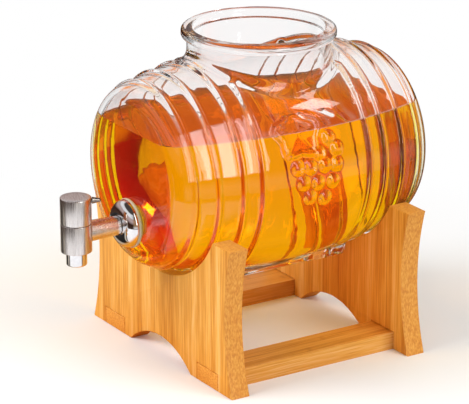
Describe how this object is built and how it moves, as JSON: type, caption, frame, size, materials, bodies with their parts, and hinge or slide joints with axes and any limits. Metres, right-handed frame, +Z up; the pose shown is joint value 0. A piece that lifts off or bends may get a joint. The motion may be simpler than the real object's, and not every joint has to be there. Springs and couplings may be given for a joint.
{
  "type": "drink dispenser",
  "caption": "Glass barrel drink dispenser with raised hoops, a wide round mouth and a turning steel tap, resting in a bamboo cradle.",
  "frame": {"origin": "on the table, at the centre of the box round the whole dispenser", "axes": "+X from the tap's end to the rear end along the barrel, +Y across the barrel, +Z up"},
  "size_m": [0.2638, 0.1894, 0.2301],
  "materials": {
    "front_panel": "oiled bamboo board",
    "rear_panel": "oiled bamboo board",
    "near_bar": "oiled bamboo board",
    "far_bar": "oiled bamboo board",
    "glass_barrel": "clear, fire-polished",
    "escutcheon": "polished",
    "outer_gasket": "translucent silicone",
    "inner_gasket": "translucent silicone",
    "backing_washer": "plain",
    "lock_nut": "turned",
    "tap_shank": "polished",
    "tap_body": "fine upright brushing",
    "outlet_nozzle": "polished",
    "nozzle_seal": "black rubber",
    "seat_sleeve": "white, slippery",
    "bonnet_ring": "plain",
    "turning_cap": "fine upright brushing",
    "lever_pin": "polished",
    "valve_plug": "turned",
    "spindle_seal": "black rubber",
    "thrust_washer": "white, slippery"
  },
  "bodies": {
    "cradle": {"front_panel": "front_panel", "rear_panel": "rear_panel", "near_bar": "near_bar", "far_bar": "far_bar"},
    "vessel": {"glass_barrel": "glass_barrel", "escutcheon": "escutcheon", "outer_gasket": "outer_gasket", "inner_gasket": "inner_gasket", "backing_washer": "backing_washer", "lock_nut": "lock_nut", "tap_shank": "tap_shank", "tap_body": "tap_body", "outlet_nozzle": "outlet_nozzle", "nozzle_seal": "nozzle_seal", "seat_sleeve": "seat_sleeve", "bonnet_ring": "bonnet_ring"},
    "tap_handle": {"turning_cap": "turning_cap", "lever_pin": "lever_pin", "valve_plug": "valve_plug", "spindle_seal": "spindle_seal", "thrust_washer": "thrust_washer"}
  },
  "joints": [
    {"name": "barrel_lift", "type": "slide", "parent": "cradle", "child": "vessel", "axis": [0, 0, 1], "range_m": [0, 0.12]},
    {"name": "tap_turn", "type": "hinge", "parent": "vessel", "child": "tap_handle", "pos_m": [-0.1211, 0, 0.09211], "axis": [0, 0, 1], "range_deg": [0, 90]}
  ]
}
